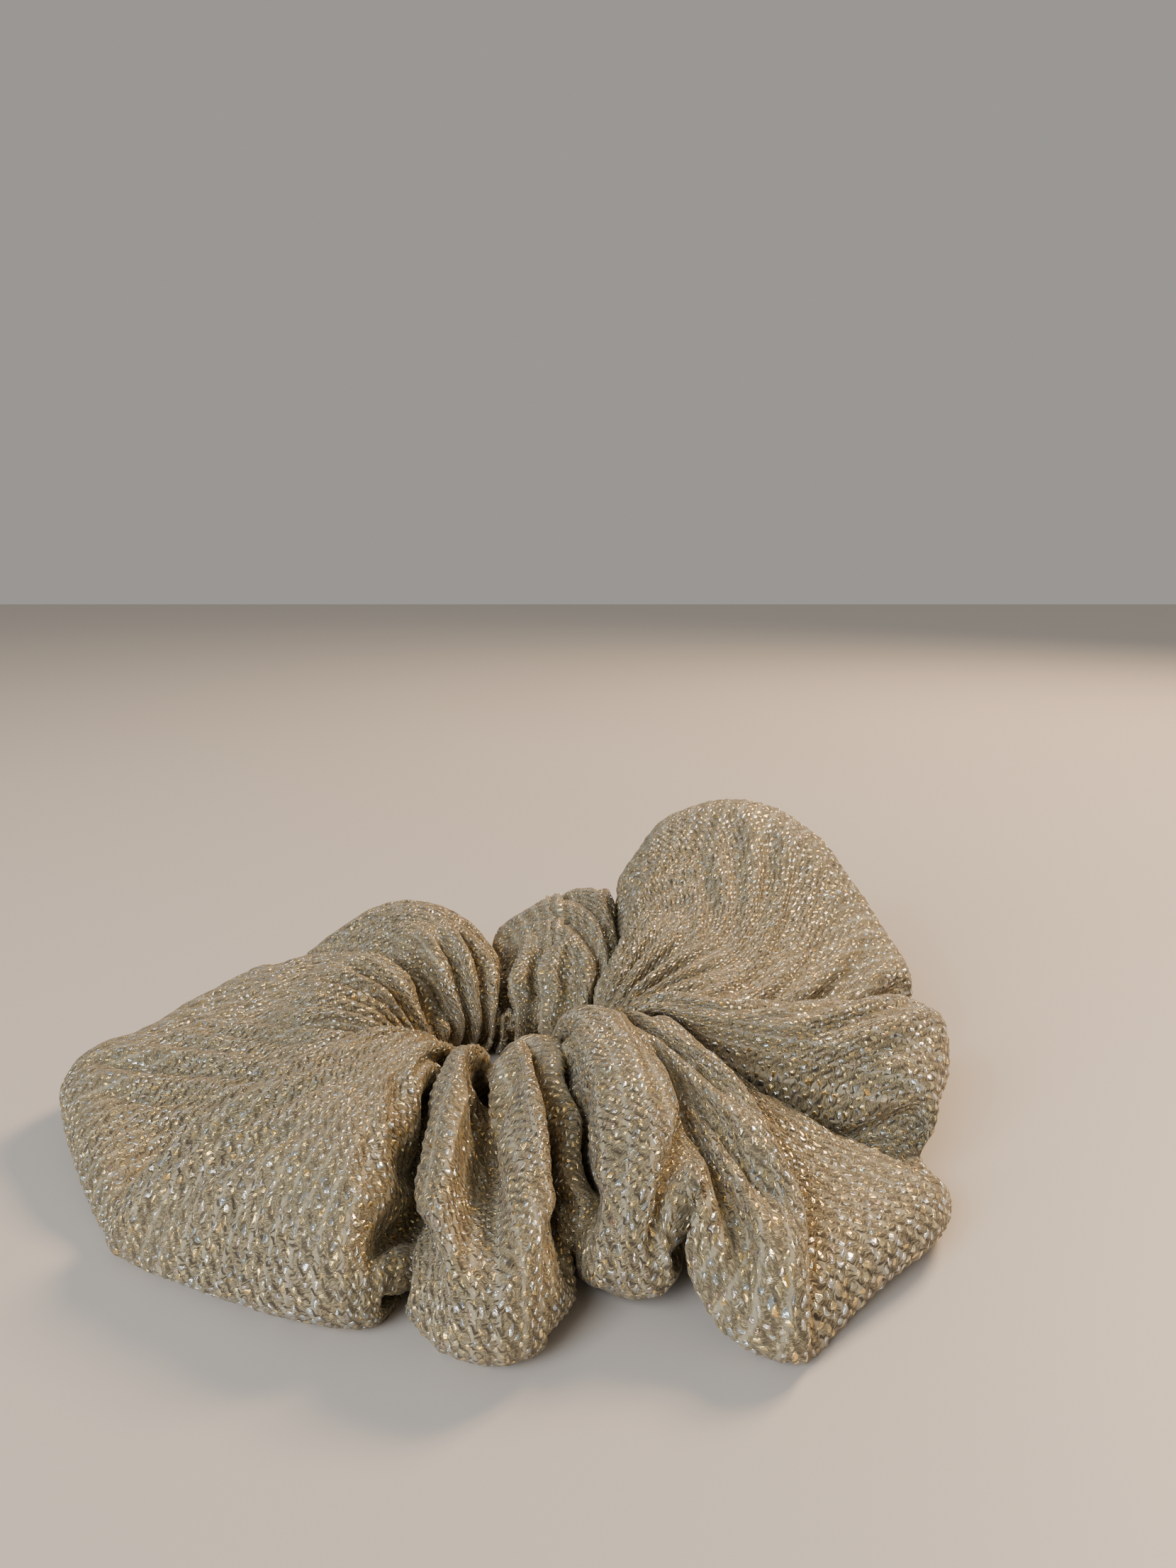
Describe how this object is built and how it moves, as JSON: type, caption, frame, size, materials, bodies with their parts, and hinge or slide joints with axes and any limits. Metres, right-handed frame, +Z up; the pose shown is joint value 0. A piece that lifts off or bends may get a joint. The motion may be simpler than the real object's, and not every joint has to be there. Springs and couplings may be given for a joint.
{
  "type": "scrunchie",
  "caption": "Hair scrunchie: a ruffled metallic knit tube gathered on a flat elastic loop that pulls open and springs back.",
  "frame": {"origin": "middle of the object's footprint, on the surface it lies on", "axes": "+X across the loop, along its longest side and along the stretch; +Y from front to back; +Z up, along the axis of the open middle"},
  "size_m": [0.1193, 0.0964, 0.0372],
  "materials": {
    "lurex_knit": "openwork knit of beige yarn with gold and silver metallic thread",
    "knit_elastic": "ribbed knitted elastic",
    "sewing_thread": "twisted polyester thread"
  },
  "bodies": {
    "right_half": {"cover_right": "lurex_knit", "elastic_right": "knit_elastic", "tube_seam_right": "sewing_thread", "closing_seam": "sewing_thread", "elastic_zigzag": "sewing_thread"},
    "left_half": {"cover_left": "lurex_knit", "elastic_left": "knit_elastic", "tube_seam_left": "sewing_thread"}
  },
  "joints": [
    {"name": "loop_stretch", "type": "slide", "parent": "right_half", "child": "left_half", "axis": [-1, 0, 0], "range_m": [0, 0.07], "stiffness_N_per_m": 120}
  ]
}
